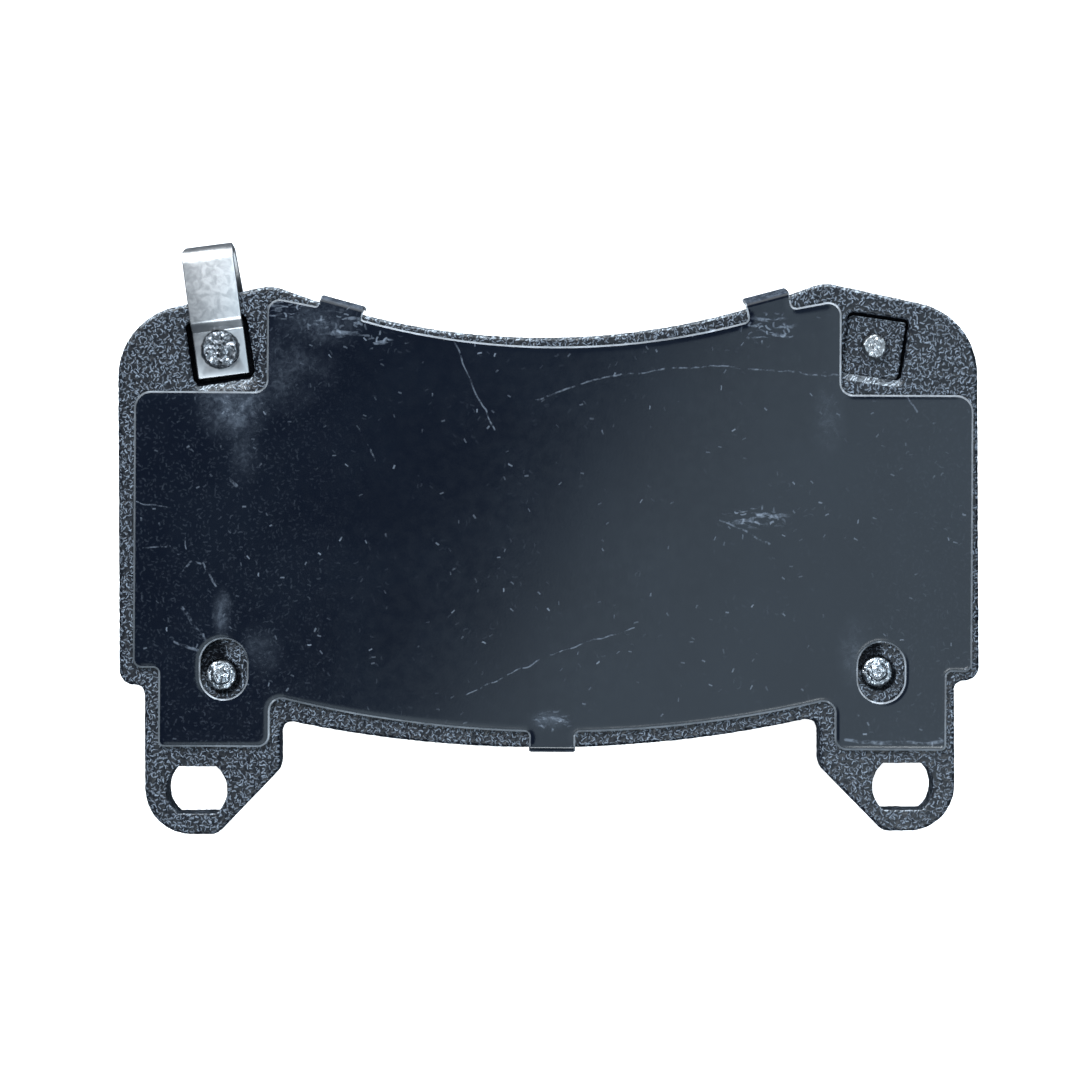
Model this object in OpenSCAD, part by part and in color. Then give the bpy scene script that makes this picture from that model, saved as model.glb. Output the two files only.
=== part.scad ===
// Front disc brake pad for a fixed four-piston caliper, lying on its friction face.
// Millimetres. +Z points from the disc to the pistons, +Y points to the hub, and the pad's lugs point to -Y.
// The origin is under the middle of the pad's box, on the friction face.

/* [Backing plate] */
// Thickness of the steel plate
plate_t = 6; // [5:0.1:7]
// Distance from the centre line to the plate's end faces
end_x = 71.75; // [71.25:0.05:73]
// Height of the step between an end face and its lug
step_y = -24; // [-26:0.5:-22]
// Radius of the concave edge that faces the hub
hub_arc_r = 121.3; // [118:0.1:126]
// Height of the lowest point of that edge
hub_arc_y = 33.7; // [33.2:0.1:34.2]
// Distance from the centre line to the plate's two peaks
peak_x = 45.9; // [45:0.1:47]
// Slope of the shoulders that fall away from the peaks
shoulder_slope = 12.5; // [8:0.5:15]
// Radius of the two upper corners
corner_r = 12; // [8:0.5:14]
// Radius of the convex outer edge between the lugs
outer_arc_r = 205; // [190:1:230]
// Height of the lowest point of that edge
outer_arc_y = -34.8; // [-35.2:0.1:-34.6]

/* [Lugs and guide pin holes] */
// Distance from the centre line to a lug's outer side
lug_x = 67.6; // [66:0.1:69]
// Distance from the centre line to a lug's inner side
lug_inner_x = 44.9; // [44:0.1:46]
// Height of the lugs' bottom edge
lug_bottom_y = -49; // [-51:0.1:-48]
// Where the bottom edge meets the slanted edge
lug_flat_x = 55.5; // [54:0.1:57]
// Where the slanted edge meets the inner side
lug_cut_y = -38.1; // [-40:0.1:-37]
// Distance from the centre line to a guide pin hole
pin_hole_x = 58.85; // [58:0.05:59.5]
// Height of the guide pin holes
pin_hole_y = -41.5; // [-42:0.1:-41]
// Diameter of the round sides of a guide pin hole
pin_hole_w = 10; // [9:0.1:11]
// Distance between the flats of a guide pin hole
pin_hole_h = 7.7; // [6:0.1:8.5]

/* [Studs and recesses] */
// Distance from the centre line to the studs and locating pins
stud_x = 54.6; // [54:0.1:55]
// Height of the two upper studs and their recesses
stud_y = 31.95; // [31:0.05:32.5]
// Height of the two lower locating pins
pin_y = -22.3; // [-23:0.1:-21.5]
// Radius of an upper stud
stud_r = 2; // [1.5:0.1:2.5]
// Radius of a locating pin
pin_r = 2.5; // [2:0.1:2.8]
// How far a locating pin stands above the plate
pin_proud = 1.5; // [0.8:0.1:2]
// Side of the square recess round an upper stud
recess_w = 10.3; // [9.5:0.1:10.5]
// Depth of the recess
recess_depth = 1.2; // [0.8:0.1:1.4]
// Turn of the recess
recess_turn = 8.5; // [5:0.5:10]

/* [Friction material] */
// Thickness of the friction blocks
friction_t = 10; // [3:0.5:12]
// Thickness of the underlayer between the blocks and the plate
underlayer_t = 1.5; // [1:0.1:2.5]
// Width of the slot between the two blocks
slot_w = 3; // [2:0.5:5]
// How far the underlayer shows round the blocks
underlayer_rim = 0.5; // [0.2:0.1:1]
// Length of the chamfer at a block's outer end
chamfer_l = 9; // [5:0.5:12]
// Depth of that chamfer
chamfer_d = 2.8; // [1:0.1:2.9]

/* [Shim] */
// Thickness of the shim's steel
shim_t = 0.45; // [0.4:0.05:0.6]
// Thickness of the rubber coat on each side of it
coat_t = 0.12; // [0.1:0.01:0.15]
// Width of the bare steel rim round the outer coat
rim_w = 0.3; // [0.2:0.05:0.5]
// How far the shim sits off the plate's centre line in its loose fit
shim_shift = 0.77; // [0:0.01:0.8]
// How far the shim is turned on the plate in its loose fit
shim_turn = -0.58; // [-0.6:0.02:0]
// Distance from the shim's centre line to its ends
shim_end_x = 69.85; // [69.5:0.05:70]
// Height of the notches that clear the upper corners
shim_notch_y = 24.35; // [24:0.05:25]
// Distance from the centre line to those notches
shim_notch_x = 47.83; // [47.5:0.01:48]
// Width of the two hub side tabs
hub_tab_w = 7.5; // [7:0.1:8]
// Distance from the centre line to the hub side tabs
hub_tab_x = 35.6; // [35:0.1:36]
// Width of the outer tab
outer_tab_w = 7.7; // [7:0.1:9]
// Outward slant of the right hub side tab's leg
tab_flare = 13; // [0:1:20]

/* [Wear indicator] */
// Width of the spring strip
strip_w = 8.6; // [8:0.1:9]
// Thickness of the spring strip
strip_t = 0.8; // [0.6:0.05:0.9]
// Reach of the strip beyond its rivet
strip_reach = 17.6; // [16:0.1:20]
// How far the strip's tip hangs below the plate
strip_drop = 2.5; // [1:0.1:3]
// Turn of the strip on its rivet
strip_turn = 7.2; // [6:0.1:9]

/* [Hidden] */

round_fn = 64;                 // sides of true circles
arc_step = 5;                  // degrees between the points of a rounded corner
arc_chord = 3.5;               // least length of a stretch of a long shallow edge
through = 0.5;                 // how far a cutter passes a face

// The stack, from the friction face up
plate_z0 = friction_t + underlayer_t;
plate_z1 = plate_z0 + plate_t;
shim_z0 = plate_z1 + coat_t;
shim_z1 = shim_z0 + shim_t;
recess_z = plate_z1 - recess_depth;

// Corner radii of the plate
peak_r = 7;
end_r = 2.5;
step_r = 1.5;
lug_r = 7.8;
lug_toe_r = 2.5;
lug_cut_r = 3.2;
lug_root_r = 2;
recess_r = 1;

// Heads of the studs and pins, sunk in the plate's friction side
foot_t = 1.2;
foot_grow = 1.4;
stud_rise = 1.5;               // height of the spare stud above its recess floor
pin_dome = 0.7;                // height of the crown on a locating pin
stud_dome = 0.3;
mash_r = 3.1;                  // radius of the mashed rivet head
mash_t = 1.1;
mash_round = 0.4;              // roundness of its rim

// Outline of the underlayer
pad_hub_r = 126;
pad_hub_y = 30;
pad_hub_x = 41.5;
pad_shoulder = [62.8, 21.6, 4];
pad_end = [65, -14, 5];
pad_toe = [60, -30.6, 4];
pad_outer_r = 201;
pad_outer_y = -31.8;
pad_outer_x = 41;
pad_corner_r = 3;

// Outline of the shim
shim_hub_r = 122.7;
shim_hub_y = 32.1;
shim_horn_y = 40.2;
shim_horn_slope = 11;
shim_horn_r = 2.2;
shim_corner_r = 2;
shim_end_r = 2.8;
shim_step_y = -21.73;
shim_step_x = 65.6;
shim_step_r = 0.9;
shim_elbow_r = 1.4;
shim_bottom_y = -34.85;
shim_bottom_r = 0.9;
shim_lobe_x = 47.06;
shim_outer_r = 193;
shim_outer_y = -32.1;
tab_turn = 15;
tab_root_r = 0.8;
tab_splay = 0.4;               // how far a tab's root lies outside the tab's own width
tab_root_y = 37;               // height of the hub edge at a tab
tab_leg = 3.6;                 // length of a tab's straight leg
left_bend_y = 38;              // where the left tab starts to bend
right_bend_y = 39.6;
outer_bend_y = -34.45;
left_bend_r = 1.37;            // bend radii at the middle of the steel
right_bend_r = 0.78;
outer_bend_r = 0.68;
oval_w = 7.8;
oval_h = 10.05;
oval_x = 54.75;
oval_y = -21.88;
oval_rim = 0.25;

// Side profile of the wear indicator, along the strip from its rivet
strip_tail = -4.5;
strip_step = [3.3, 4.9];       // start and end of the rise out of the recess
strip_arm_z = plate_z1 + 0.5;  // middle of the steel in the raised arm
strip_bend_r = 2.6;
strip_leg_lean = 60;           // angle between the folded leg and the plate's axis
strip_joggle_r = 0.9;

// The box's middle: the strip's highest corner above and the lugs' bottom edge below
strip_top_y = stud_y + strip_reach * cos(strip_turn) + strip_w / 2 * sin(strip_turn);
middle_y = (strip_top_y + lug_bottom_y) / 2;

// ---- outlines ----
// A path is a list of [x, y, corner radius], clockwise.

function flat(p) = [p[0], p[1]];
function unit(v) = v / norm(v);
function mirrored(path) = [for (i = [len(path) - 1 : -1 : 0]) [-path[i][0], path[i][1], path[i][2]]];
function reversed(path) = [for (i = [len(path) - 1 : -1 : 0]) path[i]];
function before(path, i) = flat(path[(i + len(path) - 1) % len(path)]);
function after(path, i) = flat(path[(i + 1) % len(path)]);

// Height of a sagging arc at x
function sag_y(r, low_y, x) = low_y + r - sqrt(r * r - x * x);

// A shallow arc from x0 to x1 whose lowest point is at low_y; its two ends take corner radii r0 and r1
function sag_arc(r, low_y, x0, x1, r0, r1) =
    let (a0 = asin(x0 / r), a1 = asin(x1 / r), n = floor(abs(x1 - x0) / arc_chord))
    [for (i = [0 : n])
        let (a = a0 + (a1 - a0) * i / n)
        [r * sin(a), low_y + r - r * cos(a), i == 0 ? r0 : (i == n ? r1 : 0)]];

// The arc that rounds the corner at p between the directions to q and s
function corner_arc(q, p, s, r) =
    let (a = unit(q - p), b = unit(s - p), half = acos(a * b) / 2)
    let (c = p + unit(a + b) * r / sin(half), start = p + a * r / tan(half) - c)
    let (turn = 180 - 2 * half, way = a[0] * b[1] - a[1] * b[0] > 0 ? -1 : 1)
    let (n = max(2, ceil(turn / arc_step)), a0 = atan2(start[1], start[0]))
    [for (i = [0 : n]) c + r * [cos(a0 + way * turn * i / n), sin(a0 + way * turn * i / n)]];

function rounded(path) = [for (i = [0 : len(path) - 1])
    each path[i][2] > 0
        ? corner_arc(before(path, i), flat(path[i]), after(path, i), path[i][2])
        : [flat(path[i])]];

// The same path moved inwards by d, with its corner radii kept concentric
function inset(path, d) = [for (i = [0 : len(path) - 1])
    let (u = unit(flat(path[i]) - before(path, i)), v = unit(after(path, i) - flat(path[i])))
    let (n = [u[1], -u[0]], m = [v[1], -v[0]], p = flat(path[i]) + (n + m) * d / (1 + n * m))
    let (outer = u[0] * v[1] - u[1] * v[0] < 0, r = path[i][2])
    [p[0], p[1], r == 0 ? 0 : max(0.2, outer ? r - d : r + d)]];

plate_path =
    let (peak_y = sag_y(hub_arc_r, hub_arc_y, peak_x))
    let (shoulder_y = peak_y - (end_x - peak_x) * tan(shoulder_slope))
    let (side = [
        [end_x, shoulder_y, corner_r],
        [end_x, step_y, end_r],
        [lug_x, step_y, step_r],
        [lug_x, lug_bottom_y, lug_r],
        [lug_flat_x, lug_bottom_y, lug_toe_r],
        [lug_inner_x, lug_cut_y, lug_cut_r]])
    concat(
        sag_arc(hub_arc_r, hub_arc_y, -peak_x, peak_x, peak_r, peak_r), side,
        sag_arc(outer_arc_r, outer_arc_y, lug_inner_x, -lug_inner_x, lug_root_r, lug_root_r),
        mirrored(side));

underlayer_path =
    let (side = [pad_shoulder, pad_end, pad_toe])
    concat(
        sag_arc(pad_hub_r, pad_hub_y, -pad_hub_x, pad_hub_x, pad_corner_r, pad_corner_r), side,
        sag_arc(pad_outer_r, pad_outer_y, pad_outer_x, -pad_outer_x, 0, 0), mirrored(side));

// A point on the right hub side tab: across from its middle and out from its bend line
function tab_point(bend_y, across, out) = [
    hub_tab_x + across * cos(tab_turn) - out * sin(tab_turn),
    bend_y + across * sin(tab_turn) + out * cos(tab_turn), 0];

// Fillet at the root of a hub side tab: a short tab has a small one
function root_r(bend_y) = min(tab_root_r, (bend_y - tab_root_y) / 2);

tab_root_x = hub_tab_x - hub_tab_w / 2 * cos(tab_turn) + tab_splay;
horn_root_x = hub_tab_x + hub_tab_w / 2 * cos(tab_turn) + tab_splay;

function shim_side(bend_y) = [
    tab_point(bend_y, -hub_tab_w / 2, 0),
    tab_point(bend_y, hub_tab_w / 2, 0),
    [horn_root_x, shim_horn_y - (shim_notch_x - horn_root_x) * tan(shim_horn_slope), root_r(bend_y)],
    [shim_notch_x, shim_horn_y, shim_horn_r],
    [shim_notch_x, shim_notch_y, shim_corner_r],
    [shim_end_x, shim_notch_y, shim_end_r],
    [shim_end_x, shim_step_y, shim_elbow_r],
    [shim_step_x, shim_step_y, shim_step_r],
    [shim_step_x, shim_bottom_y, shim_bottom_r],
    [shim_lobe_x, shim_bottom_y, shim_corner_r]];

function shim_outer_edge(x0, x1, r0, r1) = sag_arc(shim_outer_r, shim_outer_y, x0, x1, r0, r1);

shim_path =
    let (tab_x = outer_tab_w / 2)
    concat(
        sag_arc(shim_hub_r, shim_hub_y, -tab_root_x, tab_root_x, root_r(left_bend_y), root_r(right_bend_y)),
        shim_side(right_bend_y),
        shim_outer_edge(shim_lobe_x, tab_x, shim_corner_r, tab_root_r),
        [[tab_x, outer_bend_y, 0], [-tab_x, outer_bend_y, 0]],
        shim_outer_edge(-tab_x, -shim_lobe_x, tab_root_r, shim_corner_r),
        mirrored(shim_side(left_bend_y)));

// ---- shared shapes ----

// Every piece is drawn about the plate's centre line and then moved over the origin
module placed() {
    translate([0, -middle_y, 0]) children();
}

module slab(path, z0, z1) {
    translate([0, 0, z0]) linear_extrude(z1 - z0) polygon(rounded(path));
}

module post(x, y, r, z0, z1) {
    translate([x, y, z0]) cylinder(r = r, h = z1 - z0, $fn = round_fn);
}

// A stud with a sunk foot, a straight shank and a domed top
module stud(x, y, r, z_top, dome) {
    crown = [for (a = [0 : 15 : 75]) [r * cos(a), z_top - dome + dome * sin(a)]];
    profile = concat(
        [[0, plate_z0], [r + foot_grow, plate_z0], [r + foot_grow, plate_z0 + foot_t], [r, plate_z0 + foot_t]],
        crown, [[0, z_top]]);
    translate([x, y, 0]) rotate_extrude($fn = round_fn) polygon(profile);
}

module stud_hole(x, y, r) {
    post(x, y, r, plate_z0, plate_z1 + through);
    post(x, y, r + foot_grow, plate_z0 - through, plate_z0 + foot_t);
}

// Steel strip bent along a path of [along, height, bend radius]
function strip_line(path) = concat([flat(path[0])],
    [for (i = [1 : len(path) - 2])
        each corner_arc(flat(path[i - 1]), flat(path[i]), flat(path[i + 1]), path[i][2])],
    [flat(path[len(path) - 1])]);

function strip_edge(line, d) = [for (i = [0 : len(line) - 1])
    let (u = unit(line[min(i + 1, len(line) - 1)] - line[max(i - 1, 0)]))
    line[i] + d * [-u[1], u[0]]];

module bent_strip(path, t, w) {
    line = strip_line(path);
    rotate([90, 0, 90])
        linear_extrude(w, center = true)
            polygon(concat(strip_edge(line, t / 2), reversed(strip_edge(line, -t / 2))));
}

// ---- pieces ----

module guide_pin_hole() {
    intersection() {
        circle(d = pin_hole_w, $fn = round_fn);
        square([pin_hole_w + 1, pin_hole_h], center = true);
    }
}

module recess(side) {
    h = recess_w / 2;
    corners = [[-h, h, recess_r], [h, h, recess_r], [h, -h, recess_r], [-h, -h, recess_r]];
    translate([side * stud_x, stud_y, recess_z])
        rotate([0, 0, -side * recess_turn])
            linear_extrude(recess_depth + through) polygon(rounded(corners));
}

module backing_plate() {
    color("#2d3440") placed() difference() {
        slab(plate_path, plate_z0, plate_z1);
        for (side = [-1, 1]) {
            translate([side * pin_hole_x, pin_hole_y, plate_z0 - through])
                linear_extrude(plate_t + 2 * through) guide_pin_hole();
            recess(side);
            stud_hole(side * stud_x, stud_y, stud_r);
            stud_hole(side * stud_x, pin_y, pin_r);
        }
    }
}

module underlayer() {
    color("#6b5f52") placed() slab(underlayer_path, friction_t, plate_z0);
}

module friction_block(side) {
    start_x = pad_end[0] - chamfer_l;
    slope = [[end_x, -through], [end_x, chamfer_d * (end_x - start_x) / chamfer_l],
        [start_x, 0], [start_x, -through]];
    difference() {
        slab(inset(underlayer_path, underlayer_rim), 0, friction_t);
        translate([side > 0 ? -end_x - slot_w / 2 : -slot_w / 2, lug_bottom_y, -through])
            cube([end_x + slot_w, 2 * end_x, friction_t + 2 * through]);
        mirror([side > 0 ? 0 : 1, 0, 0])
            translate([0, end_x, 0])
                rotate([90, 0, 0]) linear_extrude(2 * end_x) polygon(slope);
    }
}

module friction_block_left() {
    color("#4a4744") placed() friction_block(-1);
}

module friction_block_right() {
    color("#4a4744") placed() friction_block(1);
}

// The shim's own middle, off the plate's by its loose fit
module on_shim() {
    placed() translate([shim_shift, 0, 0]) rotate([0, 0, shim_turn]) children();
}

module oval(grow) {
    reach = (oval_h - oval_w) / 2;
    for (end = [-1, 1])
        translate([0, end * reach]) circle(d = oval_w + 2 * grow, $fn = round_fn);
    square([oval_w + 2 * grow, 2 * reach], center = true);
}

module oval_holes(grow) {
    for (side = [-1, 1])
        translate([side * oval_x, oval_y, plate_z1 - through])
            linear_extrude(3 * through + shim_t) oval(grow);
}

// A tab's bend and leg, from its bend line outwards and down past the plate's edge
module tab_hook(w, bend_r, flare) {
    z = shim_z0 + shim_t / 2;
    reach = bend_r * tan((90 - flare) / 2);
    leg = reach + tab_leg;
    bent_strip([[-through, z, 0], [reach, z, bend_r],
        [reach + leg * sin(flare), z - leg * cos(flare), 0]], shim_t, w);
}

module shim_core() {
    color("#8a9098") on_shim() difference() {
        union() {
            slab(shim_path, shim_z0, shim_z1);
            translate([-hub_tab_x, left_bend_y, 0])
                rotate([0, 0, -tab_turn]) tab_hook(hub_tab_w, left_bend_r, 0);
            translate([hub_tab_x, right_bend_y, 0])
                rotate([0, 0, tab_turn]) tab_hook(hub_tab_w, right_bend_r, tab_flare);
            translate([0, outer_bend_y, 0])
                rotate([0, 0, 180]) tab_hook(outer_tab_w, outer_bend_r, 0);
        }
        oval_holes(0);
    }
}

module shim_outer_coat() {
    color("#1a2030") on_shim() difference() {
        slab(inset(shim_path, rim_w), shim_z1, shim_z1 + coat_t);
        oval_holes(oval_rim);
    }
}

module shim_inner_coat() {
    color("#15171c") on_shim() difference() {
        slab(inset(shim_path, rim_w), plate_z1, shim_z0);
        oval_holes(oval_rim);
    }
}

// About the left upper stud, along the wear indicator's own length
module on_strip() {
    placed() translate([-stud_x, stud_y, 0]) rotate([0, 0, strip_turn]) children();
}

module wear_indicator() {
    base_z = recess_z + strip_t / 2;
    bend_x = strip_reach - strip_t / 2 - strip_bend_r;
    corner_x = bend_x + strip_bend_r * tan((90 + strip_leg_lean) / 2);
    tip_z = plate_z0 - strip_drop;
    tip_x = corner_x - (strip_arm_z - tip_z) * tan(strip_leg_lean);
    color("#b9bec4") on_strip() difference() {
        bent_strip([[strip_tail, base_z, 0], [strip_step[0], base_z, strip_joggle_r],
            [strip_step[1], strip_arm_z, strip_joggle_r], [corner_x, strip_arm_z, strip_bend_r],
            [tip_x, tip_z, 0]], strip_t, strip_w);
        translate([0, 0, recess_z - through])
            cylinder(r = stud_r, h = strip_t + 2 * through, $fn = round_fn);
    }
}

module wear_indicator_rivet() {
    seat_z = recess_z + strip_t;
    top_z = seat_z + mash_t;
    edge_r = mash_r - mash_round;
    rim = [for (a = [-90 : 15 : 90])
        [edge_r + mash_round * cos(a), seat_z + mash_t / 2 + mash_t / 2 * sin(a)]];
    profile = concat(
        [[0, plate_z0], [stud_r + foot_grow, plate_z0], [stud_r + foot_grow, plate_z0 + foot_t],
            [stud_r, plate_z0 + foot_t], [stud_r, seat_z]],
        rim, [[0, top_z]]);
    color("#9aa0a8") on_strip() rotate_extrude($fn = round_fn) polygon(profile);
}

module spare_stud() {
    color("#c8ccd2") placed() stud(stud_x, stud_y, stud_r, recess_z + stud_rise, stud_dome);
}

module locating_pin_left() {
    color("#c8ccd2") placed() stud(-stud_x, pin_y, pin_r, plate_z1 + pin_proud, pin_dome);
}

module locating_pin_right() {
    color("#c8ccd2") placed() stud(stud_x, pin_y, pin_r, plate_z1 + pin_proud, pin_dome);
}

backing_plate();
underlayer();
friction_block_left();
friction_block_right();
shim_inner_coat();
shim_core();
shim_outer_coat();
wear_indicator();
wear_indicator_rivet();
spare_stud();
locating_pin_left();
locating_pin_right();
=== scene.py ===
"""A front disc brake pad that lies on its friction face, seen from the side that meets the pistons."""
import math

import bmesh
import bpy
import numpy as np
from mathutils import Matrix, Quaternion, Vector, geometry, kdtree, noise


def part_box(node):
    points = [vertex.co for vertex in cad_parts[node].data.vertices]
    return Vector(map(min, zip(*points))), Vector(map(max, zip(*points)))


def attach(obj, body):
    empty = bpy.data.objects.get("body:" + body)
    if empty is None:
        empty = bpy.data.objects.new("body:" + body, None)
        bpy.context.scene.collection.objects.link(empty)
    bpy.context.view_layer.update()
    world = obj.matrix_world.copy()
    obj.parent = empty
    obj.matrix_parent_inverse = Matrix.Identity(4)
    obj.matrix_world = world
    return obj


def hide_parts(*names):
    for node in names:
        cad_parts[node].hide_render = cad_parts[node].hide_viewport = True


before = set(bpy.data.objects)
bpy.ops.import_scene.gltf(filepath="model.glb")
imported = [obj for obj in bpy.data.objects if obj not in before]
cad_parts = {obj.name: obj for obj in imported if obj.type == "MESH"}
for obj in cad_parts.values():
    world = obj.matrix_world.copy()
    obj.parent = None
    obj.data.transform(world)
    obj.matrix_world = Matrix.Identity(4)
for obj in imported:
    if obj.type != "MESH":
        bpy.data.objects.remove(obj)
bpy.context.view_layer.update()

MM = 0.001

# Heights of the stack, from the frame
PLATE_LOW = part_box("backing_plate")[0].z
PLATE_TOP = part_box("backing_plate")[1].z
SHIM_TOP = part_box("shim_core")[1].z
COAT_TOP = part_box("shim_outer_coat")[1].z
STRIP_T = 0.8 * MM             # sheet of the wear indicator, which lies on the recess's floor
MASH_T = 1.1 * MM              # mashed head of the rivet, which sits on it
RECESS_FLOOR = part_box("wear_indicator_rivet")[1].z - MASH_T - STRIP_T
FOOT_T = 1.2 * MM              # feet of the rivet, stud and pins, sunk in the plate's underside
COAT_T = COAT_TOP - SHIM_TOP

# The picture: the eye looks straight down, and the picture is shifted to have another place in its middle
EYE_HEIGHT = 0.49              # above the plate's top face
EYE = Vector((0.002, 0.010))
AIM = Vector((-0.00137, -0.0006))
VIEW_WIDTH = 0.18              # on the plate's top face
ROLL = math.radians(-0.28)


# ---- camera, lights and floor ----

def add(name, data):
    made = bpy.data.objects.new(name, data)
    bpy.context.scene.collection.objects.link(made)
    return made


def make_camera():
    data = bpy.data.cameras.new("camera")
    data.sensor_width = 36
    data.lens = data.sensor_width * EYE_HEIGHT / VIEW_WIDTH
    data.shift_x, data.shift_y = (AIM - EYE) / VIEW_WIDTH
    data.clip_start, data.clip_end = 0.01, 20
    camera = add("camera", data)
    camera.location = (*EYE, PLATE_TOP + EYE_HEIGHT)
    camera.rotation_euler = (0, 0, ROLL)
    bpy.context.scene.camera = camera


def panel(name, place, look_at, size, watts, tint, spin=0.0):
    """A soft rectangular light at place that faces look_at, turned by spin about its own axis."""
    data = bpy.data.lights.new(name, "AREA")
    data.shape = "RECTANGLE"
    data.size, data.size_y = size
    data.energy = watts
    data.color = tint
    light = add(name, data)
    light.location = place
    aim = (Vector(look_at) - Vector(place)).to_track_quat("-Z", "Y")
    light.rotation_euler = (aim @ Quaternion((0, 0, 1), spin)).to_euler()
    light.visible_camera = False


COOL = (0.88, 0.95, 1.0)
BLUE = (0.7, 0.88, 1.0)


def light_studio():
    panel("overhead_panel", (0.58, -0.325, 1.05), (0.58, -0.325, 0), (1.3, 1.9), 11.5, BLUE,
          math.radians(-31))
    panel("hub_side_key", (-0.55, 0.9, 0.95), (0, 0, 0), (0.35, 0.3), 25, COOL)
    panel("hub_side_panel", (-0.1, 0.75, 0.45), (0, 0, 0.2), (1.6, 0.6), 7.5, COOL)
    panel("outer_side_strip", (0.3, -0.62, 1.25), (0, 0, 0.02), (0.9, 0.16), 9, COOL)
    world = bpy.data.worlds.new("studio")
    world.use_nodes = True
    background = world.node_tree.nodes["Background"]
    background.inputs["Color"].default_value = (0.55, 0.74, 1.0, 1)
    background.inputs["Strength"].default_value = 0.1
    bpy.context.scene.world = world
    bpy.context.scene.view_settings.view_transform = "Standard"


# ---- outlines, taken from the CAD nodes ----

def welded(node):
    """A CAD node's mesh with the corners of its faces joined."""
    bm = bmesh.new()
    bm.from_mesh(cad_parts[node].data)
    bmesh.ops.remove_doubles(bm, verts=bm.verts, dist=1e-6)
    return bm


def loops_at(node, z):
    """The outlines of a node's flat faces at height z, longest first, with the material on their left."""
    bm = welded(node)
    level = {f for f in bm.faces if all(abs(v.co.z - z) < 5e-6 for v in f.verts)}
    after = {}
    for edge in bm.edges:
        faces = [f for f in edge.link_faces if f in level]
        if len(faces) == 1:
            loop = next(l for l in faces[0].loops if l.edge == edge)
            ends = (loop.vert, loop.link_loop_next.vert)
            a, b = ends if faces[0].normal.z > 0 else ends[::-1]
            after[a] = b
    loops = []
    while after:
        at = next(iter(after))
        loop = []
        while at in after:
            loop.append((at.co.x, at.co.y))
            at = after.pop(at)
        loops.append(np.array(loop))
    bm.free()
    return sorted(loops, key=lambda l: -np.ptp(l[:, 0]))


def evened(loop, step):
    """The same closed outline with its points a steady step apart, and its sharp corners kept."""
    back, ahead = loop - np.roll(loop, 1, 0), np.roll(loop, -1, 0) - loop
    turn = np.arctan2(back[:, 0] * ahead[:, 1] - back[:, 1] * ahead[:, 0], (back * ahead).sum(1))
    corners = list(np.flatnonzero(abs(turn) > math.radians(30))) or [0]
    points = []
    for a, b in zip(corners, corners[1:] + [corners[0] + len(loop)]):
        piece = loop[np.arange(a, b + 1) % len(loop)]
        run = np.concatenate([[0], np.cumsum(np.linalg.norm(np.diff(piece, axis=0), axis=1))])
        count = max(1, round(run[-1] / step))
        at = np.arange(count) * run[-1] / count
        points.append(np.column_stack([np.interp(at, run, piece[:, k]) for k in (0, 1)]))
    return np.vstack(points)


def inward(loop):
    """Directions from the outline's points into the material."""
    along = np.roll(loop, -1, 0) - np.roll(loop, 1, 0)
    along /= np.maximum(np.linalg.norm(along, axis=1), 1e-9)[:, None]
    return np.column_stack([-along[:, 1], along[:, 0]])


def inside(points, loops):
    """Which points lie in the material that the loops bound."""
    x, y = points.T
    odd = np.zeros(len(points), bool)
    for loop in loops:
        for (x0, y0), (x1, y1) in zip(loop, np.roll(loop, -1, 0)):
            if y0 != y1:
                odd ^= ((y0 > y) != (y1 > y)) & (x < (x1 - x0) * (y - y0) / (y1 - y0) + x0)
    return odd


def shrunk(loops, by):
    return [loop + inward(loop) * by for loop in loops]


def staggered(loops, step):
    """Points of a triangular grid inside the loops."""
    low, high = loops[0].min(0), loops[0].max(0)
    rows = np.arange(low[1], high[1], step * math.sqrt(0.75))
    grid = [(x, y) for i, y in enumerate(rows) for x in np.arange(low[0] + step * (i % 2) / 2, high[0], step)]
    grid = np.array(grid)
    return grid[inside(grid, loops)]


# ---- mesh building ----

def tree_of(places):
    """The places in a tree that finds the nearest one."""
    tree = kdtree.KDTree(len(places))
    for i, place in enumerate(places):
        tree.insert(place, i)
    tree.balance()
    return tree


def wall(bm, loop, rows):
    """Rings of vertices along an outline, joined by faces. A row is (offset into the material, height)."""
    into = inward(loop)
    rings = []
    for offset, z in rows:
        places = loop + into * np.reshape(offset, (-1, 1))
        heights = np.broadcast_to(z, len(loop))
        rings.append([bm.verts.new((x, y, h)) for (x, y), h in zip(places, heights)])
    for upper, lower in zip(rings, rings[1:]):
        for i in range(len(upper)):
            bm.faces.new((upper[i - 1], upper[i], lower[i], lower[i - 1]))
    return rings[0], rings[-1]


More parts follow.
